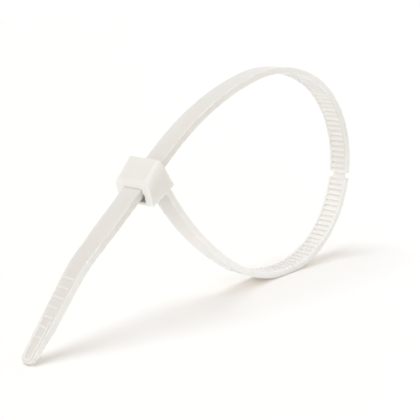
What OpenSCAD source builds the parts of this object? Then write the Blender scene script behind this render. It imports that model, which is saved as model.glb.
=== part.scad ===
// Nylon cable tie, closed in a loop, moulded in one piece.
// The strap leaves one side of the head, runs round the loop with its teeth inwards, and threads
// through the head's slot, where a springy pawl catches the teeth. Its tail stands out beyond.
// The side view is drawn in the XY plane, with the strap's width along Z, and then stood up.

/* [Strap] */
// Width of the strap
strap_w = 3.6; // [2.5:0.1:4.6]
// Thickness of the strap, measured over its rails
strap_t = 1.0; // [0.8:0.05:1.3]
// Width of the smooth rail on each side of the teeth
rail_w = 0.42; // [0.3:0.02:0.6]
// Length of the notch in each edge, at the middle of the loop
notch_l = 0.9; // [0.6:0.1:2]
// Depth of the notch in each edge
notch_d = 0.75; // [0.4:0.05:1.1]

/* [Teeth] */
// Distance from one tooth to the next
tooth_pitch = 1.0; // [0.8:0.05:1.4]
// Depth of the toothed band below the rails
tooth_band_d = 0.38; // [0.25:0.01:0.45]
// Height of a tooth above the floor of the band
tooth_h = 0.32; // [0.2:0.01:0.38]
// Flat crest of a tooth, along the strap
tooth_crest = 0.16; // [0.1:0.02:0.3]
// Smooth length of strap between the head and the first tooth
smooth_l = 14; // [8:1:30]

/* [Loop] */
// Straight neck of the strap on each side of the crossing in the head
neck_l = 3.75; // [3:0.05:6]
// Turn of the long, slack curve next to each neck
lead_turn = 25.5; // [15:0.5:32]
// Radius of the shoulder curve
shoulder_r = 21.5; // [18:0.5:26]
// Turn of the shoulder curve
shoulder_turn = 38.8; // [30:0.1:45]
// Radius of the tight curve opposite the head
crown_r = 16.3; // [13:0.1:19]
// Lean of the threaded strap from square in its slot
slot_lean = 8.5; // [0:0.5:10]

/* [Tail] */
// Straight length of the tail next to the head, from the crossing
tail_straight = 15; // [8:0.5:40]
// Radius of the bend in the tail
tail_bend_r = 18.5; // [10:0.5:60]
// Turn of the bend in the tail
tail_bend_turn = 11.5; // [2:0.5:30]
// Length of the tail beyond the bend
tail_end_l = 12.1; // [8:0.1:40]
// Length of toothed strap beyond the crossing
toothed_tail_l = 13.5; // [6:0.5:20]
// Length of the narrowing end of the tail
taper_l = 20.5; // [10:0.5:30]
// Width that the tail narrows to at its tip
tip_w = 2.4; // [1.8:0.1:3]
// Radius of the tip's two corners
tip_r = 1.0; // [0.5:0.05:1.3]
// Thickness that the tail thins to at its tip, on its toothed side
tip_t = 0.55; // [0.5:0.05:0.9]
// Length of the thinning end of the tail
thinning_l = 5; // [2:0.5:8]
// Number of grip ribs across the tail's end
grip_count = 7; // [0:1:9]
// Distance from one grip rib to the next
grip_pitch = 1.4; // [1:0.05:2]
// Distance from the tip to the last grip rib
grip_inset = 3.6; // [2.5:0.1:6]
// Width of a grip rib, and of the rim line round the tip
grip_w = 0.3; // [0.2:0.05:0.5]
// Height of the grip ribs and the rim line
grip_h = 0.06; // [0.04:0.02:0.2]
// Distance from the edge of the tail to the rim line
grip_edge = 0.35; // [0.2:0.05:0.8]
// Length of tail that the rim line goes round
rim_l = 6; // [3:0.5:12]

/* [Head] */
// Width of the head
head_w = 7.1; // [6:0.1:9]
// Length of the head along its slot, on the side of its own strap
head_l = 4.65; // [4.2:0.1:6]
// Length of the head along its slot, on the far side
head_outer_l = 3.55; // [3.5:0.05:5]
// Drop of the head's entry side below the toothed side of its own strap
entry_drop = 0.3; // [0:0.05:0.4]
// Reach of the head from the slot's middle towards its own strap
head_reach = 2.25; // [2:0.05:3]
// Reach of the head from the slot's middle to the far side, where the strap enters
head_back = 2.15; // [1.6:0.05:3]
// Slant of the head's far side, narrowing towards the exit
head_slant = 18; // [5:0.5:22]
// Radius of the two long edges on the head's far side
head_edge_r = 0.9; // [0.4:0.05:1.3]
// Radius of the edge between the far side and the exit
head_exit_r = 0.35; // [0.3:0.05:1.2]
// Clearance between the strap and the sides of its slot
slot_side_clear = 0.08; // [0.06:0.02:0.4]
// Clearance between the strap and the slot's faces
slot_face_clear = 0.04; // [0.04:0.02:0.2]
// Flare of the slot's entry towards each of its faces
slot_flare = 0.25; // [0.1:0.05:0.4]

/* [Pawl] */
// Clearance between the pawl and the rails on each side of it
pawl_side_clear = 0.1; // [0.06:0.02:0.3]
// Clearance between the pawl's teeth and the strap's teeth
pawl_clear = 0.05; // [0.04:0.01:0.1]
// Thickness of the pawl at its root
pawl_root_t = 0.5; // [0.35:0.05:0.6]
// Thickness of the pawl at its free end
pawl_end_t = 0.3; // [0.2:0.05:0.4]
// Reach of the pawl from the crossing towards the exit
pawl_reach = 3.6; // [3:0.1:4]
// Width of the pawl's cavity beyond each side of the slot
cavity_side = 0.3; // [0:0.05:0.6]
// Depth of solid head at the pawl's root, from the crossing
pawl_root = 1.0; // [0.8:0.1:1.4]
// Number of teeth on the pawl
pawl_teeth = 2; // [1:1:3]
// Thickness of the head's wall behind the pawl
pawl_wall = 0.4; // [0.3:0.05:0.6]

/* [Hidden] */
$fn = 64;
bite = 0.1; // overlap of one solid with the next, so that they join
facet_turn = 3; // turn of the strap from one flat of a curve to the next
edge_turn = 6; // turn from one flat of the head's exit edge to the next
tooth_foot = 0.9; // share of the pitch over which a tooth slopes down to the band's floor

// The crossing of the strap with itself in the head
cross_turn = 270 + slot_lean;
half_turn = cross_turn / 2;
near_turn = lead_turn + shoulder_turn;
axis_turn = half_turn - 90;
rest_x = neck_l + shoulder_r * (sin(near_turn) - sin(lead_turn))
    + crown_r * (sin(half_turn) - sin(near_turn));
rest_y = shoulder_r * (cos(lead_turn) - cos(near_turn))
    + crown_r * (cos(near_turn) - cos(half_turn));
// Radius of the slack curve that brings the strap back to the crossing
lead_r = (rest_x * sin(axis_turn) - rest_y * cos(axis_turn))
    / ((1 - cos(lead_turn)) * cos(axis_turn) - sin(lead_turn) * sin(axis_turn));

// Each run of the strap is its length and its turn to the left
function arc(r, turn) = [r * turn * PI / 180, turn];
LOOP = [
    [neck_l, 0],
    arc(lead_r, lead_turn),
    arc(shoulder_r, shoulder_turn),
    arc(crown_r, cross_turn - 2 * near_turn),
    arc(shoulder_r, shoulder_turn),
    arc(lead_r, lead_turn),
    [neck_l, 0]
];
TAIL = [
    [tail_straight, 0],
    arc(tail_bend_r, tail_bend_turn),
    [tail_end_l, 0]
];
RUNS = concat(LOOP, TAIL);
function total(runs, i = 0) = i == len(runs) ? 0 : runs[i][0] + total(runs, i + 1);
loop_l = total(LOOP);
strap_l = total(RUNS);

// Place and heading at the end of a run that starts at place p, which is x, y and heading
function after(p, run) =
    run[1] == 0
        ? [p[0] + run[0] * cos(p[2]), p[1] + run[0] * sin(p[2]), p[2]]
        : let(r = run[0] / (run[1] * PI / 180), h = p[2] + run[1])
            [p[0] + r * (sin(h) - sin(p[2])), p[1] - r * (cos(h) - cos(p[2])), h];
function part_of(run, l) = [l, run[1] * l / run[0]];
// Place and heading on the strap's centre line, at a distance from the crossing
function place(s, i = 0, p = [0, 0, 0]) =
    i == len(RUNS) - 1 || s <= RUNS[i][0]
        ? after(p, part_of(RUNS[i], s))
        : place(s - RUNS[i][0], i + 1, after(p, RUNS[i]));
function run_start(i) = i == 0 ? 0 : run_start(i - 1) + RUNS[i - 1][0];

// The closed tie stands on the shoulder of its loop and on the corner of its tail's tip
shoulder_start = place(neck_l + LOOP[1][0]);
shoulder_x = shoulder_start[0] - shoulder_r * sin(shoulder_start[2]);
shoulder_y = shoulder_start[1] + shoulder_r * cos(shoulder_start[2]);
foot_r = shoulder_r + strap_t / 2;
tip = place(strap_l);
tip_top = tip_t - strap_t / 2;
// Corner of the tip at a height to the left of the strap's middle
function tip_corner(y) = [tip[0] - y * sin(tip[2]), tip[1] + y * cos(tip[2])];
foot = tip_corner(tip_top);
back = tip_corner(-strap_t / 2);
tip_gap = norm([foot[0] - shoulder_x, foot[1] - shoulder_y]);
tip_dir = atan2(foot[1] - shoulder_y, foot[0] - shoulder_x);
// Turn of the drawing that lays the line under shoulder and tip along the floor
stand = 180 + asin(foot_r / tip_gap) - tip_dir;
function stood(x, y) = [x * cos(stand) - y * sin(stand), x * sin(stand) + y * cos(stand)];
floor_y = stood(shoulder_x, shoulder_y)[1] - foot_r;
crown_start = place(neck_l + LOOP[1][0] + LOOP[2][0]);
crown_x = crown_start[0] - crown_r * sin(crown_start[2]);
crown_y = crown_start[1] + crown_r * cos(crown_start[2]);
right_x = stood(crown_x, crown_y)[0] + crown_r + strap_t / 2;
left_x = stood(back[0], back[1])[0];
middle_x = (left_x + right_x) / 2;

// The toothed band
band_w = strap_w - 2 * rail_w;
band_floor = strap_t / 2 - tooth_band_d;
tooth_top = band_floor + tooth_h;
tooth_root = tooth_foot * tooth_pitch;
teeth_end = loop_l + toothed_tail_l;
tooth_count = floor((teeth_end - smooth_l) / tooth_pitch);

// The slot leans with the threaded strap, and the pawl's cavity opens from it towards the exit
entry_y = strap_t / 2 - entry_drop;
through = 6 * head_l;
slot_w = strap_w + 2 * slot_side_clear;
slot_half = strap_t / 2 + slot_face_clear;
cavity_reach = head_reach - pawl_wall;
strap_start = head_reach - 2 * bite;
// The strap's tooth that the pawl's last tooth catches
caught_tooth = floor((loop_l + pawl_reach - smooth_l) / tooth_pitch);
pawl_end = smooth_l + caught_tooth * tooth_pitch - pawl_clear;

// Point in the side view at a distance along the strap and a height to the left of its middle
function point(s, y) =
    let(p = place(s)) [p[0] - y * sin(p[2]), p[1] + y * cos(p[2])];

// Distances along the strap that follow its curves between two others
function stations(from, to) = concat(
    [from],
    [
        for (i = [0 : len(RUNS) - 1])
            let(n = max(1, ceil(RUNS[i][1] / facet_turn)))
                for (k = [0 : n - 1])
                    let(s = run_start(i) + k * RUNS[i][0] / n)
                        if (s > from + bite && s < to - bite) s
    ],
    [to]
);

// Side view of the strap between two heights, over a list of distances along it
module ribbon(along, low, high) {
    last = len(along) - 1;
    polygon(concat(
        [for (s = along) point(s, low)],
        [for (i = [last : -1 : 0]) point(along[i], high)]
    ));
}

// Places a shape at a distance along the strap, with x along it and y to its left
module at(s) {
    p = place(s);
    translate([p[0], p[1], 0]) rotate(p[2]) children();
}

// Side view of the space over the teeth, each steep towards the head and sloping to the tail
module band_space() {
    starts = [for (i = [0 : tooth_count - 1]) smooth_l + i * tooth_pitch];
    polygon(concat(
        [
            for (s = starts, corner = [
                [0, tooth_top],
                [tooth_crest, tooth_top],
                [tooth_root, band_floor],
                [tooth_pitch, band_floor]
            ]) point(s + corner[0], corner[1])
        ],
        [for (i = [tooth_count : -1 : 0]) point(smooth_l + i * tooth_pitch, strap_t)]
    ));
}

module notches() {
    at(loop_l / 2)
        for (side = [-1, 1])
            translate([0, 0, side * strap_w / 2])
                cube([notch_l, strap_t + 2 * bite, 2 * notch_d], center = true);
}

// Outline of the tail's narrowing end seen from its smooth side, drawn in from its edge
module tail_outline(inset) {
    half = tip_w / 2 - inset;
    r = max(bite, min(tip_r - inset, half - bite));
    polygon([
        [-taper_l, -strap_w / 2 + inset],
        [-r - inset, -half],
        [-inset, r - half],
        [-inset, half - r],
        [-r - inset, half],
        [-taper_l, strap_w / 2 - inset]
    ]);
    for (side = [-1, 1])
        translate([-r - inset, side * (half - r)]) circle(r);
}

module tail_cut() {
    at(strap_l) {
        rotate([90, 0, 0]) linear_extrude(2 * taper_l, center = true)
            difference() {
                translate([-taper_l, -strap_w]) square([taper_l + strap_w, 2 * strap_w]);
                tail_outline(0);
            }
        linear_extrude(2 * strap_w, center = true)
            polygon([
                [-thinning_l, strap_t / 2],
                [bite, tip_top],
                [bite, strap_t],
                [-thinning_l, strap_t]
            ]);
    }
}

// Ribs across the tail's end, and the line along the rim of its tip
module grip_outline() {
    intersection() {
        difference() {
            tail_outline(grip_edge);
            tail_outline(grip_edge + grip_w);
        }
        translate([-rim_l, -strap_w / 2]) square([rim_l, strap_w]);
    }
    intersection() {
        tail_outline(grip_edge);
        for (i = [0 : grip_count - 1])
            translate([-grip_inset - i * grip_pitch - grip_w / 2, -strap_w / 2])
                square([grip_w, strap_w]);
    }
}

module grip() {
    at(strap_l)
        translate([0, -strap_t / 2 + bite, 0]) rotate([90, 0, 0])
            linear_extrude(grip_h + bite) grip_outline();
}

module strap() {
    difference() {
        linear_extrude(strap_w, center = true)
            ribbon(stations(strap_start, strap_l), -strap_t / 2, strap_t / 2);
        linear_extrude(band_w, center = true) band_space();
        notches();
        tail_cut();
    }
    grip();
}

// Side view of the head, with the edge between its far side and its exit rounded
module head_profile() {
    outer = [-head_back + head_outer_l * tan(head_slant), entry_y - head_outer_l];
    inner = [head_reach, entry_y - head_l];
    exit_dir = atan2(inner[1] - outer[1], inner[0] - outer[0]);
    corner = 90 - exit_dir + head_slant;
    centre = outer + head_exit_r / sin(corner / 2)
        * [cos(exit_dir + corner / 2), sin(exit_dir + corner / 2)];
    polygon(concat(
        [[head_reach, entry_y], [-head_back, entry_y]],
        [
            for (a = [180 + head_slant : edge_turn : 270 + exit_dir])
                centre + head_exit_r * [cos(a), sin(a)]
        ],
        [inner]
    ));
}

// Plan of the head along its slanting far side, with that side's long edges rounded
module head_plan() {
    translate([head_edge_r, -head_w / 2]) square([through, head_w]);
    translate([0, head_edge_r - head_w / 2]) square([through, head_w - 2 * head_edge_r]);
    for (side = [-1, 1])
        translate([head_edge_r, side * (head_w / 2 - head_edge_r)]) circle(head_edge_r);
}

module head_block() {
    intersection() {
        linear_extrude(head_w, center = true) head_profile();
        translate([-head_back, entry_y, 0]) rotate([90, 0, head_slant])
            linear_extrude(through, center = true) head_plan();
    }
}

module slot() {
    at(loop_l) cube([through, 2 * slot_half, slot_w], center = true);
    // The flare, which is square to the head like the entry
    flare_y = entry_y - slot_flare;
    flare_x = -flare_y * tan(slot_lean);
    half = slot_half / cos(slot_lean);
    mouth = half + slot_flare + bite;
    linear_extrude(slot_w, center = true)
        polygon([
            [flare_x - half, flare_y],
            [flare_x + half, flare_y],
            [flare_x + mouth, entry_y + bite],
            [flare_x - mouth, entry_y + bite]
        ]);
}

// Cavity of the pawl, which is wider than the slot behind the strap's teeth
module pawl_cavity() {
    wide_w = slot_w + 2 * cavity_side;
    wide_x = strap_t / 2 + 2 * bite;
    translate([0, -pawl_root - through, -slot_w / 2]) cube([cavity_reach, through, slot_w]);
    translate([wide_x, -pawl_root - through, -wide_w / 2])
        cube([cavity_reach - wide_x, through, wide_w]);
}

// Springy tongue on the strap's side of the slot, with teeth that fit the strap's own
module pawl() {
    lift = tooth_top + pawl_clear;
    l = pawl_end - (loop_l + pawl_root - bite);
    tooth_tip = band_floor + 2 * pawl_clear;
    slope_l = tooth_pitch - tooth_crest - pawl_clear;
    at(pawl_end)
        linear_extrude(band_w - 2 * pawl_side_clear, center = true) {
            polygon([[0, lift], [0, lift + pawl_end_t], [-l, lift + pawl_root_t], [-l, lift]]);
            for (i = [0 : pawl_teeth - 1])
                translate([-i * tooth_pitch, 0]) polygon([
                    [0, tooth_tip],
                    [0, lift + bite],
                    [-slope_l, lift + bite],
                    [-slope_l, lift],
                    [tooth_root - tooth_pitch, tooth_tip]
                ]);
        }
}

module head() {
    difference() {
        head_block();
        slot();
        pawl_cavity();
    }
    pawl();
}

module cable_tie() {
    color("ivory")
        translate([-middle_x, 0, -floor_y]) rotate([90, 0, 0]) rotate(stand) {
            strap();
            head();
        }
}

cable_tie();
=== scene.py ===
"""A nylon cable tie, closed in a loop, standing on a pale studio floor."""

import math

import bmesh
import bpy
from mathutils import Matrix, Vector
from mathutils.bvhtree import BVHTree


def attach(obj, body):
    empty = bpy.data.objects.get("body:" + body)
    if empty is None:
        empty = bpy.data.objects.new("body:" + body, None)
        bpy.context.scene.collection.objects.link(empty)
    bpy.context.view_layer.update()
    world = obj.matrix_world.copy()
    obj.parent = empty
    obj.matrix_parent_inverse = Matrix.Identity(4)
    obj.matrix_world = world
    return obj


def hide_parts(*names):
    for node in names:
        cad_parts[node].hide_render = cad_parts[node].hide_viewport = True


bl_info = {
    "name": "Cable Tie",
    "version": (1, 0, 0),
    "blender": (4, 5, 0),
    "location": "3D View > Sidebar > Cable Tie",
    "description": "Finishes a closed nylon cable tie and lights it on a pale floor",
    "category": "Object",
}

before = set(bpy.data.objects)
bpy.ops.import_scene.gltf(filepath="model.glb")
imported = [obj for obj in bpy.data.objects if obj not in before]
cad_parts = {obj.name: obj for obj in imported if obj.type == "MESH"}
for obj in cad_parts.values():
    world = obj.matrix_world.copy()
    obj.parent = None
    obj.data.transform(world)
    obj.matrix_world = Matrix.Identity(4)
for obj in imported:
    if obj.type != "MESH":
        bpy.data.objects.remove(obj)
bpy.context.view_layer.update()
MM = 0.001

# Marks on the moulding's faces and points, which its nylon reads; the ridge, crest, side and exit
# marks carry painted light and shade, the head mark its own colour
RIDGE_HIGHLIGHT = "ridge"
CREST_HIGHLIGHT = "crest"
SIDE_LIGHT_AND_SHADE = "side"
HEAD = "head"
EXIT_HIGHLIGHT = "exit"

# Distance up to which two points of the solid are one, and angle up to which two faces are one
WELD = 0.0002 * MM
FLAT = math.radians(0.5)
# Turn in radians up to which an inward edge counts as level
INWARD = 0.01
# Share of a face's normal that points across the strap on its narrow sides
ACROSS = 0.7
# Share of a face's normal that points along the tail where the tail leaves the head
ALONG = 0.9
# Distance within which the end of a tooth's edge is on the side of the toothed band
BAND_SLACK = 0.01 * MM
# Share of an edge's free space that is skipped beside its own faces
SKIPPED = 0.01

WHITE = (1, 1, 1, 1)
# Width of the camera's sensor in millimetres, and the distances between which it sees
SENSOR = 36
NEAREST = 1 * MM
FARTHEST = 50


def named_socket(sockets, name):
    """The socket of that identifier, or else of that name, with spaces as underscores."""
    for socket in sockets:
        if socket.identifier == name:
            return socket
    return sockets[name.replace("_", " ")]


class Tone:
    """A shader socket that takes part in Python arithmetic."""

    def __init__(self, finish, socket):
        self.finish = finish
        self.socket = socket

    def math(self, operation, *others):
        """This tone put through a Math node."""
        return self.finish.node("ShaderNodeMath", {"operation": operation}, self, *others)

    def of(self, name):
        """Another output of the same node."""
        return Tone(self.finish, self.socket.node.outputs[name])

    def __add__(self, other):
        return self.math("ADD", other)

    def __mul__(self, other):
        return self.math("MULTIPLY", other)

    def __sub__(self, other):
        return self.math("SUBTRACT", other)

    def __rsub__(self, other):
        return self.finish.node("ShaderNodeMath", {"operation": "SUBTRACT"}, other, self)

    __radd__ = __add__
    __rmul__ = __mul__


class Finish:
    """The nodes of a material or a world, written as expressions."""

    def __init__(self, owner, end="ShaderNodeOutputMaterial"):
        owner.use_nodes = True
        self.owner = owner
        self.tree = owner.node_tree
        self.tree.nodes.clear()
        self.output = self.tree.nodes.new(end)

    def node(self, kind, settings, *inputs, output=0, **named):
        """Adds a node, sets it up, fills its sockets with values or links and returns an output."""
        made = self.tree.nodes.new(kind)
        for key, value in settings.items():
            setattr(made, key, value)
        for key, value in [*enumerate(inputs), *named.items()]:
            place = made.inputs[key] if isinstance(key, int) else named_socket(made.inputs, key)
            if isinstance(value, Tone):
                self.tree.links.new(value.socket, place)
            else:
                place.default_value = value
        if isinstance(output, str):
            return Tone(self, named_socket(made.outputs, output))
        return Tone(self, made.outputs[output])

    def surface(self, tone):
        """Ends the nodes with that shader and returns the material or the world."""
        self.tree.links.new(tone.socket, self.output.inputs["Surface"])
        return self.owner


def mix_colours(finish, factor, low, high):
    """A colour between two others, each a tone or three numbers, by a varying factor."""
    ends = [end if isinstance(end, Tone) else (*end, 1) for end in (low, high)]
    return finish.node(
        "ShaderNodeMix", {"data_type": "RGBA"}, factor, A_Color=ends[0], B_Color=ends[1],
        output="Result_Color",
    )


def near(finish, place, middle, core, fade):
    """1 up to the core's distance from a point, and 0 beyond the fade."""
    off = finish.node(
        "ShaderNodeVectorMath", {"operation": "DISTANCE"}, place, Vector(middle), output="Value"
    )
    return finish.node("ShaderNodeMapRange", {}, off, core + fade, core)


def along(finish, place, way):
    """How far a place lies along a direction."""
    return finish.node(
        "ShaderNodeVectorMath", {"operation": "DOT_PRODUCT"}, place, way, output="Value"
    )


def blotches(finish, place, scale, detail):
    """Soft blotches from 0 to 1."""
    return finish.node(
        "ShaderNodeTexNoise", {"noise_dimensions": "3D"}, Vector=place, Scale=scale, Detail=detail
    )


class NylonSizes(bpy.types.PropertyGroup):
    """Finish of the moulding."""

    edge_round: bpy.props.FloatProperty(
        name="Edge round",
        description="Radius of the moulding's edges",
        default=0.06 * MM,
        unit="LENGTH",
        precision=5,
    )
    edge_steps: bpy.props.IntProperty(
        name="Edge steps",
        description="Number of faces across a rounded edge",
        default=2,
    )
    edge_angle: bpy.props.FloatProperty(
        name="Edge angle",
        description="Angle past which an edge is rounded",
        default=math.radians(25),
        subtype="ANGLE",
    )
    edge_room: bpy.props.FloatProperty(
        name="Edge room",
        description="Free space that an edge needs beside it to be rounded",
        default=0.3 * MM,
        unit="LENGTH",
        precision=5,
    )
    curve_angle: bpy.props.FloatProperty(
        name="Curve angle",
        description="Angle up to which two faces are shaded as one curve",
        default=math.radians(10),
        subtype="ANGLE",
    )
    # Painted shade: the darker colour over the tail and the loop's top, where less of the studio
    # light falls
    shaded_tail_tone: bpy.props.FloatVectorProperty(
        name="Tail colour",
        description="Colour of the denser nylon, over the tail and the top of the loop",
        default=(0.714, 0.666, 0.612),
        subtype="COLOR",
        size=3,
    )
    # Place where the painted shade is fullest
    painted_shade_place: bpy.props.FloatVectorProperty(
        name="Tail shade",
        description="Place from which the denser nylon turns paler",
        default=(-12 * MM, 0.0, 28 * MM),
        subtype="TRANSLATION",
        size=3,
    )
    # Painted light: the lighter colour low on the loop, which the floor's light reaches; the
    # ridges' painted highlight uses it too
    lit_loop_tone: bpy.props.FloatVectorProperty(
        name="Loop colour",
        description="Colour of the paler nylon, low on the far side of the loop",
        default=(0.885, 0.852, 0.812),
        subtype="COLOR",
        size=3,
    )
    # Place where the painted light is fullest
    painted_light_place: bpy.props.FloatVectorProperty(
        name="Loop shade",
        description="Place at which the nylon is palest",
        default=(12 * MM, 0.0, 3 * MM),
        subtype="TRANSLATION",
        size=3,
    )
    cloudiness: bpy.props.FloatProperty(
        name="Cloudiness",
        description="Share of the colours' difference that comes and goes along the strap",
        default=0.2,
        min=0.0,
        max=1.0,
        subtype="FACTOR",
    )
    cloud_scale: bpy.props.FloatProperty(
        name="Cloud scale",
        description="Number of the nylon's cloudy blotches in a metre",
        default=180.0,
    )
    cloud_detail: bpy.props.FloatProperty(
        name="Cloud detail",
        description="Steps of finer blotches within the cloudy ones",
        default=3.0,
    )
    # Painted light bounced from the floor near the loop's lowest point: its colour, share, middle,
    # full distance and fade
    bounce_light_colour: bpy.props.FloatVectorProperty(
        name="Low colour",
        description="Colour of the nylon near the loop's lowest point",
        default=(0.99, 0.92, 0.87),
        subtype="COLOR",
        size=3,
    )
    bounce_light_share: bpy.props.FloatProperty(
        name="Low light",
        description="How far the nylon turns to the low colour",
        default=0.75,
        min=0.0,
        max=1.0,
        subtype="FACTOR",
    )
    bounce_light_place: bpy.props.FloatVectorProperty(
        name="Low place",
        description="Middle of the low colour",
        default=(5 * MM, 0.0, 3 * MM),
        subtype="TRANSLATION",
        size=3,
    )
    bounce_light_core: bpy.props.FloatProperty(
        name="Low core",
        description="Distance up to which the low colour is full",
        default=6 * MM,
        unit="LENGTH",
    )
    bounce_light_fade: bpy.props.FloatProperty(
        name="Low fade",
        description="Length over which the low colour ends",
        default=14 * MM,
        unit="LENGTH",
    )
    band_half: bpy.props.FloatProperty(
        name="Band half width",
        description="Distance from the middle plane to each side of the toothed band",
        default=1.38 * MM,
        unit="LENGTH",
        precision=5,
    )
    # Painted highlight on the teeth's crests and on the head's exit face
    highlight_colour: bpy.props.FloatVectorProperty(
        name="Crest colour",
        description="Colour of the nylon on the teeth's crests",
        default=(1.0, 0.955, 0.9),
        subtype="COLOR",
        size=3,
    )
    # Painted highlight on the crests away from the glint
    crest_highlight: bpy.props.FloatProperty(
        name="Crest light",
        description="How far the teeth's crests turn to their own colour away from the glint",
        default=0.35,
        min=0.0,
        max=1.0,
        subtype="FACTOR",
    )
    # Painted glint of the key light on the crests: its middle, full distance and fade
    glint_place: bpy.props.FloatVectorProperty(
        name="Glint place",
        description="Place round which the teeth's crests have their own colour in full",
        default=(31 * MM, 0.0, 23 * MM),
        subtype="TRANSLATION",
        size=3,
    )
    glint_core: bpy.props.FloatProperty(
        name="Glint core",
        description="Distance up to which the glint is full",
        default=3 * MM,
        unit="LENGTH",
    )
    glint_fade: bpy.props.FloatProperty(
        name="Glint fade",
        description="Length over which the glint ends",
        default=6 * MM,
        unit="LENGTH",
    )
    # Painted shade between the crests within the glint
    glint_valley_shade: bpy.props.FloatProperty(
        name="Glint density",
        description="How much denser the nylon looks between the crests of the glint",
        default=0.6,
        min=0.0,
        max=1.0,
        subtype="FACTOR",
    )
    ridge_wall: bpy.props.FloatProperty(
        name="Ridge wall",
        description="Height up to which a wall belongs to a grip ridge",
        default=0.08 * MM,
        unit="LENGTH",
        precision=5,
    )
    ridge_width: bpy.props.FloatProperty(
        name="Ridge width",
        description="Width up to which a face is the top of a grip ridge",
        default=0.5 * MM,
        unit="LENGTH",
        precision=5,
    )
    # Painted highlight on the grip ridges
    ridge_highlight: bpy.props.FloatProperty(
        name="Ridge light",
        description="How far the grip ridges turn to the paler nylon",
        default=0.45,
        min=0.0,
        max=1.0,
        subtype="FACTOR",
    )
    side_width: bpy.props.FloatProperty(
        name="Side width",
        description="Width past which a face across the strap is one of its narrow sides",
        default=0.5 * MM,
        unit="LENGTH",
        precision=5,
    )
    # Painted light and shade on the strap's narrow sides: lighter on the tail, where light comes
    # out through the thin nylon, and darker low on the loop
    side_lit_tone: bpy.props.FloatVectorProperty(
        name="Side colour",
        description="Colour of the strap's narrow sides",
        default=(0.83, 0.8, 0.75),
        subtype="COLOR",
        size=3,
    )
    side_lit_share: bpy.props.FloatProperty(
        name="Side light",
        description="How far the strap's narrow sides turn to their own colour",
        default=1.0,
        min=0.0,
        max=1.0,
        subtype="FACTOR",
    )
    # Where the painted light on the tail's narrow sides starts and the length over which it comes
    # in
    side_start: bpy.props.FloatProperty(
        name="Side start",
        description="Distance from the head's middle at which the tail's narrow sides turn paler",
        default=5 * MM,
        unit="LENGTH",
    )
    side_fade: bpy.props.FloatProperty(
        name="Side fade",
        description="Length over which the tail's narrow sides turn paler",
        default=10 * MM,
        unit="LENGTH",
    )
    tail_fall: bpy.props.FloatProperty(
        name="Tail fall",
        description="Angle below the horizon at which the tail leaves the head",
        default=math.radians(30.7),
        subtype="ANGLE",
    )
    head_half: bpy.props.FloatProperty(
        name="Head half width",
        description="Distance from the middle plane beyond which only the head reaches",
        default=2.5 * MM,
        unit="LENGTH",
        precision=5,
    )
    head_radius: bpy.props.FloatProperty(
        name="Head radius",
        description="Distance from the head's middle within which the nylon is thick",
        default=3.6 * MM,
        unit="LENGTH",
        precision=5,
    )
    head_fade: bpy.props.FloatProperty(
        name="Head fade",
        description="Length over which the thick nylon turns into the strap's",
        default=1.5 * MM,
        unit="LENGTH",
        precision=5,
    )
    head_colour: bpy.props.FloatVectorProperty(
        name="Head colour",
        description="Colour of the thick nylon in the head",
        default=(0.8, 0.757, 0.69),
        subtype="COLOR",
        size=3,
    )
    # Painted highlight on the head's face round the tail, as lit from the floor
    exit_highlight: bpy.props.FloatProperty(
        name="Exit light",
        description="How far the head's face round the tail turns to the crests' colour",
        default=0.75,
        min=0.0,
        max=1.0,
        subtype="FACTOR",
    )
    strap_clear: bpy.props.FloatProperty(
        name="Strap clearness",
        description="Share of the light that goes through the strap's nylon",
        default=0.75,
        min=0.0,
        max=1.0,
        subtype="FACTOR",
    )
    head_clear: bpy.props.FloatProperty(
        name="Head clearness",
        description="Share of the light that goes through the head's nylon",
        default=0.15,
        min=0.0,
        max=1.0,
        subtype="FACTOR",
    )
    scatter: bpy.props.FloatProperty(
        name="Scatter",
        description="Depth that light reaches into the nylon",
        default=0.8 * MM,
        unit="LENGTH",
        precision=5,
    )
    scatter_colour: bpy.props.FloatVectorProperty(
        name="Scatter colour",
        description="Shares of that depth that red, green and blue light reach",
        default=(1.0, 0.98, 0.94),
        subtype="COLOR",
        size=3,
    )
    refraction: bpy.props.FloatProperty(
        name="Refraction",
        description="Refractive index of the nylon",
        default=1.53,
    )
    dullness: bpy.props.FloatProperty(
        name="Dullness",
        description="Roughness of the nylon where it is glossiest",
        default=0.3,
        min=0.0,
        max=1.0,
        subtype="FACTOR",
    )
    dullness_change: bpy.props.FloatProperty(
        name="Dullness change",
        description="Roughness that the cloudy blotches add",
        default=0.12,
        min=0.0,
        max=1.0,
        subtype="FACTOR",
    )
    grain_scale: bpy.props.FloatProperty(
        name="Grain scale",
        description="Number of the surface's fine bumps in a metre",
        default=2600.0,
    )
    grain_detail: bpy.props.FloatProperty(
        name="Grain detail",
        description="Steps of finer bumps within the fine ones",
        default=2.0,
    )
    grain_strength: bpy.props.FloatProperty(
        name="Grain strength",
        description="How far the fine bumps turn the surface",
        default=0.06,
        min=0.0,
        max=1.0,
        subtype="FACTOR",
    )
    grain_depth: bpy.props.FloatProperty(
        name="Grain depth",
        description="Height of the fine bumps at full strength",
        default=0.05 * MM,
        unit="LENGTH",
        precision=5,
    )


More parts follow.
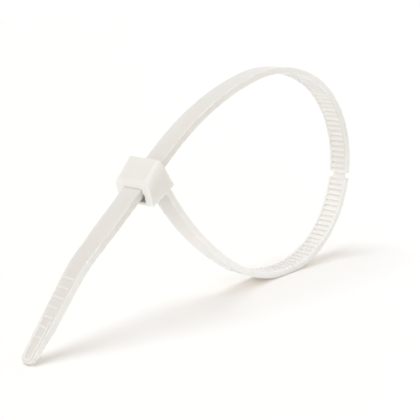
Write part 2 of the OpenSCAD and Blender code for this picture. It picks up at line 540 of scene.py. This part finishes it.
class StageSizes(bpy.types.PropertyGroup):
    """Camera, floor and light."""

    azimuth: bpy.props.FloatProperty(
        name="Azimuth",
        description="Side from which the camera looks, from straight in front",
        default=math.radians(-44.84),
        subtype="ANGLE",
    )
    elevation: bpy.props.FloatProperty(
        name="Elevation",
        description="Angle of the camera above the horizon",
        default=math.radians(13.51),
        subtype="ANGLE",
    )
    roll: bpy.props.FloatProperty(
        name="Roll",
        description="Turn of the camera about its line of sight",
        default=math.radians(-1.66),
        subtype="ANGLE",
    )
    camera_place: bpy.props.FloatVectorProperty(
        name="Camera place",
        description="Where the camera stands",
        default=(-85.09 * MM, -85.86 * MM, 42.88 * MM),
        subtype="TRANSLATION",
        size=3,
    )
    lens: bpy.props.FloatProperty(
        name="Lens",
        description="Focal length of the camera, in millimetres on a 36 mm sensor",
        default=70.96,
        unit="CAMERA",
    )
    floor_size: bpy.props.FloatProperty(
        name="Floor size",
        description="Width of the floor",
        default=12.0,
        unit="LENGTH",
    )
    floor_colour: bpy.props.FloatVectorProperty(
        name="Floor colour",
        description="Colour of the floor",
        default=(0.955, 0.955, 0.955),
        subtype="COLOR",
        size=3,
    )
    floor_roughness: bpy.props.FloatProperty(
        name="Floor roughness",
        description="Roughness of the matte floor",
        default=0.5,
        min=0.0,
        max=1.0,
        subtype="FACTOR",
    )
    floor_lift: bpy.props.FloatProperty(
        name="Floor lift",
        description="Light that only the camera sees, which brings the floor to white",
        default=0.085,
    )
    lift_colour: bpy.props.FloatVectorProperty(
        name="Lift colour",
        description="Colour of the light that brings the floor to white",
        default=(1.0, 0.55, 0.02),
        subtype="COLOR",
        size=3,
    )
    horizon_light: bpy.props.FloatProperty(
        name="Horizon light",
        description="Strength of the studio's light at the horizon",
        default=1.36,
    )
    horizon_colour: bpy.props.FloatVectorProperty(
        name="Horizon colour",
        description="Colour of the studio's light at the horizon",
        default=(1.04, 1.0, 0.95),
        subtype="COLOR",
        size=3,
    )
    zenith_light: bpy.props.FloatProperty(
        name="Zenith light",
        description="Strength of the studio's light overhead",
        default=0.3,
    )
    zenith_colour: bpy.props.FloatVectorProperty(
        name="Zenith colour",
        description="Colour of the studio's light overhead",
        default=(0.93, 1.0, 1.07),
        subtype="COLOR",
        size=3,
    )
    key_energy: bpy.props.FloatProperty(
        name="Key energy",
        description="Strength of the key light",
        default=1.16,
    )
    key_colour: bpy.props.FloatVectorProperty(
        name="Key colour",
        description="Colour of the key light",
        default=(0.95, 1.0, 1.05),
        subtype="COLOR",
        size=3,
    )
    key_angle: bpy.props.FloatProperty(
        name="Key angle",
        description="Width of the key light as the tie sees it",
        default=math.radians(38),
        subtype="ANGLE",
    )
    key_from: bpy.props.FloatVectorProperty(
        name="Key from",
        description="Direction that the key light comes from",
        default=(-0.24, 0.13, 0.95),
        subtype="DIRECTION",
        size=3,
    )


def new_object(name, data):
    """A new object in the scene."""
    made = bpy.data.objects.new(name, data)
    bpy.context.scene.collection.objects.link(made)
    return made


def tail_way(fall):
    """Direction in which the tail leaves the head."""
    return Vector((-math.cos(fall), 0, -math.sin(fall)))


def painted_lightness(finish, place, cloud, sizes):
    """0 where the tail and the loop's top get their painted shade, and 1 where the loop's low side
    gets its painted light, varied by the random cloudy tone.
    """
    start = Vector(sizes.painted_shade_place)
    span = Vector(sizes.painted_light_place) - start
    way = span / span.length_squared
    pale = along(finish, place, way) - start.dot(way) + (cloud - 0.5) * sizes.cloudiness
    return pale.math("MAXIMUM", 0.0).math("MINIMUM", 1.0)


def nylon_colour(finish, place, cloud, sizes, middle):
    """Painted shade over the tail turning to painted light low on the loop, the head's own colour,
    painted highlights on the ridges, exit and crests, painted light and shade on the narrow sides,
    and painted floor bounce near the foot.
    """
    # Painted glint of the key light on the crests with painted shade between them, then painted
    # shade over the tail turning to painted light low on the loop
    glint = near(finish, place, sizes.glint_place, sizes.glint_core, sizes.glint_fade)
    pale = painted_lightness(finish, place, cloud, sizes) * (1.0 - glint * sizes.glint_valley_shade)
    colour = mix_colours(finish, pale, sizes.shaded_tail_tone, sizes.lit_loop_tone)
    way = tail_way(sizes.tail_fall)
    start = middle.dot(way) + sizes.side_start
    down = along(finish, place, way)
    tail = finish.node("ShaderNodeMapRange", {}, down, start, start + sizes.side_fade)
    # Each marked face turns to its colour: the head to its own, the ridges, exit face and crests to
    # painted highlights, the narrow sides to painted light and shade
    marks = (
        (HEAD, 1.0, sizes.head_colour),
        (RIDGE_HIGHLIGHT, sizes.ridge_highlight, sizes.lit_loop_tone),
        (SIDE_LIGHT_AND_SHADE, pale.math("MAXIMUM", tail) * sizes.side_lit_share, sizes.side_lit_tone),
        (EXIT_HIGHLIGHT, sizes.exit_highlight, sizes.highlight_colour),
        (CREST_HIGHLIGHT, glint * (1.0 - sizes.crest_highlight) + sizes.crest_highlight, sizes.highlight_colour),
    )
    for name, share, own_colour in marks:
        marked = finish.node("ShaderNodeAttribute", {"attribute_name": name}, output="Fac")
        colour = mix_colours(finish, marked * share, colour, own_colour)
    # Painted light bounced from the floor near the loop's lowest point
    low = near(finish, place, sizes.bounce_light_place, sizes.bounce_light_core, sizes.bounce_light_fade)
    return mix_colours(finish, low * sizes.bounce_light_share, colour, sizes.bounce_light_colour)


def nylon(sizes, middle):
    """Natural nylon, clear in the thin strap and denser round the head's middle."""
    finish = Finish(bpy.data.materials.new("natural_nylon"))
    place = finish.node("ShaderNodeTexCoord", {}, output="Object")
    cloud = blotches(finish, place, sizes.cloud_scale, sizes.cloud_detail)
    grain = blotches(finish, place, sizes.grain_scale, sizes.grain_detail)
    colour = nylon_colour(finish, place, cloud, sizes, middle)
    dullness = cloud * sizes.dullness_change + sizes.dullness
    bump = finish.node(
        "ShaderNodeBump", {}, Strength=sizes.grain_strength, Distance=sizes.grain_depth,
        Height=grain,
    )
    thin, thick = (
        finish.node(
            "ShaderNodeBsdfPrincipled", {"subsurface_method": "RANDOM_WALK"},
            Base_Color=colour,
            Roughness=dullness,
            Normal=bump,
            IOR=sizes.refraction,
            Subsurface_Weight=clear,
            Subsurface_Radius=sizes.scatter_colour,
            Subsurface_Scale=sizes.scatter,
        )
        for clear in (sizes.strap_clear, sizes.head_clear)
    )
    thickness = near(finish, place, middle, sizes.head_radius, sizes.head_fade)
    return finish.surface(finish.node("ShaderNodeMixShader", {}, thickness, thin, thick))


def merged_solid():
    """The moulding's solid, with its loose triangles merged into whole faces."""
    shape = bmesh.new()
    shape.from_mesh(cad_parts["cable_tie"].data)
    bmesh.ops.remove_doubles(shape, verts=shape.verts, dist=WELD)
    bmesh.ops.dissolve_limit(shape, angle_limit=FLAT, verts=shape.verts, edges=shape.edges)
    return shape


def head_middle(shape, half):
    """Middle of the head, from the points that only the head has."""
    wide = [point.co for point in shape.verts if abs(point.co.y) > half]
    return sum(wide, Vector()) / len(wide)


def breadth(face):
    """Width of a long, narrow face."""
    return 2 * face.calc_area() / face.calc_perimeter()


def mark_ridges(shape, wall, width):
    """Marks the faces of the low ridges, which are their low walls and what those carry."""
    ridge = shape.faces.layers.float.new(RIDGE_HIGHLIGHT)
    walls = {face for face in shape.faces if breadth(face) < wall}
    borders = {edge for face in walls for edge in face.edges}
    for face in shape.faces:
        turns = [edge.calc_face_angle_signed(0.0) for edge in face.edges]
        narrow_top = min(turns) > -INWARD and breadth(face) < width
        carried = narrow_top and not borders.isdisjoint(face.edges)
        face[ridge] = float(carried or face in walls)


def mark_sides(shape, width, half):
    """Marks the strap's narrow sides."""
    side = shape.faces.layers.float.new(SIDE_LIGHT_AND_SHADE)
    for face in shape.faces:
        across = abs(face.normal.y) > ACROSS and abs(face.calc_center_median().y) < half
        face[side] = float(across and breadth(face) > width)


def mark_head(shape, half, out):
    """Marks the head's faces, and apart the one that the tail comes out of."""
    head = shape.faces.layers.float.new(HEAD)
    leave = shape.faces.layers.float.new(EXIT_HIGHLIGHT)
    for face in shape.faces:
        on_head = max(abs(point.co.y) for point in face.verts) > half
        face[head] = float(on_head)
        face[leave] = float(on_head and face.normal.dot(out) > ALONG)


def mark_crests(shape, half):
    """Marks the teeth's crests, whose edges cross the strap and stand out from it."""
    crest = shape.verts.layers.float.new(CREST_HIGHLIGHT)
    for edge in shape.edges:
        ends = [point.co.y for point in edge.verts]
        over = ends[0] * ends[1] < 0 and all(abs(abs(y) - half) < BAND_SLACK for y in ends)
        if over and edge.is_convex:
            for point in edge.verts:
                point[crest] = 1.0


def has_room(tree, edge, room):
    """Whether the faces beside an edge are wide enough, with no other surface close before them."""
    if any(face.calc_area() < room * edge.calc_length() / 2 for face in edge.link_faces):
        return False
    middle = (edge.verts[0].co + edge.verts[1].co) / 2
    for face in edge.link_faces:
        start = middle + face.normal * room * SKIPPED
        if tree.ray_cast(start, face.normal, room)[0]:
            return False
    return True


def edges_to_round(shape, angle, room):
    """The sharp edges with free space beside them."""
    tree = BVHTree.FromBMesh(shape)
    return [
        edge for edge in shape.edges
        if len(edge.link_faces) == 2 and edge.calc_face_angle() > angle
        and has_room(tree, edge, room)
    ]


class CABLETIE_OT_moulding(bpy.types.Operator):
    """Rounds the edges of the one-piece moulding and gives it its nylon"""

    bl_idname = "cable_tie.moulding"
    bl_label = "Moulding"

    def execute(self, context):
        sizes = context.scene.cable_tie_nylon
        shape = merged_solid()
        mark_ridges(shape, sizes.ridge_wall, sizes.ridge_width)
        mark_sides(shape, sizes.side_width, sizes.head_half)
        mark_head(shape, sizes.head_half, tail_way(sizes.tail_fall))
        mark_crests(shape, sizes.band_half)
        middle = head_middle(shape, sizes.head_half)
        bmesh.ops.bevel(
            shape, geom=edges_to_round(shape, sizes.edge_angle, sizes.edge_room),
            offset=sizes.edge_round, offset_type="OFFSET", affect="EDGES",
            segments=sizes.edge_steps, profile=0.5, material=-1, clamp_overlap=True,
        )
        for edge in shape.edges:
            edge.smooth = edge.calc_face_angle(math.pi) < sizes.curve_angle
        mesh = bpy.data.meshes.new("moulding")
        shape.to_mesh(mesh)
        shape.free()
        mesh.shade_smooth()
        moulding = new_object("moulding", mesh)
        mesh.materials.append(nylon(sizes, middle))
        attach(moulding, "root")
        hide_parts("cable_tie")
        return {"FINISHED"}


def floor_material(sizes):
    """Matte and pale, and lifted to white for the camera alone."""
    finish = Finish(bpy.data.materials.new("pale_floor"))
    matte = finish.node(
        "ShaderNodeBsdfDiffuse", {}, Color=(*sizes.floor_colour, 1),
        Roughness=sizes.floor_roughness,
    )
    seen = finish.node("ShaderNodeLightPath", {}).of("Is Camera Ray")
    lift = finish.node(
        "ShaderNodeEmission", {}, Color=(*sizes.lift_colour, 1), Strength=seen * sizes.floor_lift
    )
    return finish.surface(finish.node("ShaderNodeAddShader", {}, matte, lift))


def studio_floor(sizes):
    """A level square with the tie at its middle."""
    ground = bmesh.new()
    bmesh.ops.create_grid(ground, x_segments=1, y_segments=1, size=sizes.floor_size / 2)
    mesh = bpy.data.meshes.new("floor")
    ground.to_mesh(mesh)
    ground.free()
    mesh.materials.append(floor_material(sizes))
    return new_object("floor", mesh)


def studio_world(sizes):
    """White where it is seen or mirrored; as a light it changes from horizon to zenith."""
    finish = Finish(bpy.data.worlds.new("studio"), "ShaderNodeOutputWorld")
    towards = finish.node("ShaderNodeTexCoord", {}, output="Generated")
    height = finish.node("ShaderNodeSeparateXYZ", {}, towards, output="Z").math("MAXIMUM", 0.0)
    strength = height * (sizes.zenith_light - sizes.horizon_light) + sizes.horizon_light
    colour = mix_colours(finish, height, sizes.horizon_colour, sizes.zenith_colour)
    light = finish.node("ShaderNodeBackground", {}, colour, strength)
    white = finish.node("ShaderNodeBackground", {}, WHITE)
    path = finish.node("ShaderNodeLightPath", {})
    seen = path.of("Is Camera Ray").math("MAXIMUM", path.of("Is Glossy Ray"))
    seen = seen.math("MAXIMUM", path.of("Is Transmission Ray"))
    return finish.surface(finish.node("ShaderNodeMixShader", {}, seen, light, white))


def key_light(sizes):
    """One broad light from above."""
    sun = bpy.data.lights.new("key", "SUN")
    sun.energy = sizes.key_energy
    sun.angle = sizes.key_angle
    sun.color = sizes.key_colour
    key = new_object("key", sun)
    key.rotation_euler = Vector(sizes.key_from).to_track_quat("Z", "Y").to_euler()


def camera_turn(azimuth, elevation, roll):
    """Rotation of a camera that looks level from the front before these three turns."""
    level = Vector((math.cos(azimuth), math.sin(azimuth), 0))
    back = Vector((
        math.sin(azimuth) * math.cos(elevation),
        -math.cos(azimuth) * math.cos(elevation),
        math.sin(elevation),
    ))
    right = level * math.cos(roll) + back.cross(level) * math.sin(roll)
    return Matrix((right, back.cross(right), back)).transposed().to_4x4()


def studio_camera(sizes):
    """The camera that sees the tie as the photo does."""
    lens = bpy.data.cameras.new("camera")
    lens.lens = sizes.lens
    lens.sensor_width = SENSOR
    lens.clip_start = NEAREST
    lens.clip_end = FARTHEST
    camera = new_object("camera", lens)
    turned = camera_turn(sizes.azimuth, sizes.elevation, sizes.roll)
    camera.matrix_world = Matrix.Translation(sizes.camera_place) @ turned
    return camera


class CABLETIE_OT_stage(bpy.types.Operator):
    """Lays the floor and sets up the light and the camera"""

    bl_idname = "cable_tie.stage"
    bl_label = "Stage"

    def execute(self, context):
        scene = context.scene
        sizes = scene.cable_tie_stage
        floor = studio_floor(sizes)
        scene.world = studio_world(sizes)
        key_light(sizes)
        scene.camera = studio_camera(sizes)
        scene.view_settings.view_transform = "Standard"
        return {"FINISHED"}


class CABLETIE_PT_panel(bpy.types.Panel):
    """Lists the tie's steps and sizes"""

    bl_idname = "CABLETIE_PT_panel"
    bl_label = "Cable Tie"
    bl_space_type = "VIEW_3D"
    bl_region_type = "UI"
    bl_category = "Cable Tie"

    def draw(self, context):
        for group in (context.scene.cable_tie_nylon, context.scene.cable_tie_stage):
            for name in group.__annotations__:
                self.layout.prop(group, name)
        self.layout.operator(CABLETIE_OT_moulding.bl_idname)
        self.layout.operator(CABLETIE_OT_stage.bl_idname)


CLASSES = (
    NylonSizes, StageSizes, CABLETIE_OT_moulding, CABLETIE_OT_stage, CABLETIE_PT_panel,
)


def register():
    for each in CLASSES:
        bpy.utils.register_class(each)
    bpy.types.Scene.cable_tie_nylon = bpy.props.PointerProperty(type=NylonSizes)
    bpy.types.Scene.cable_tie_stage = bpy.props.PointerProperty(type=StageSizes)


def unregister():
    del bpy.types.Scene.cable_tie_stage
    del bpy.types.Scene.cable_tie_nylon
    for each in reversed(CLASSES):
        bpy.utils.unregister_class(each)


def main():
    register()
    bpy.ops.cable_tie.moulding()
    bpy.ops.cable_tie.stage()


if __name__ == "__main__":
    main()
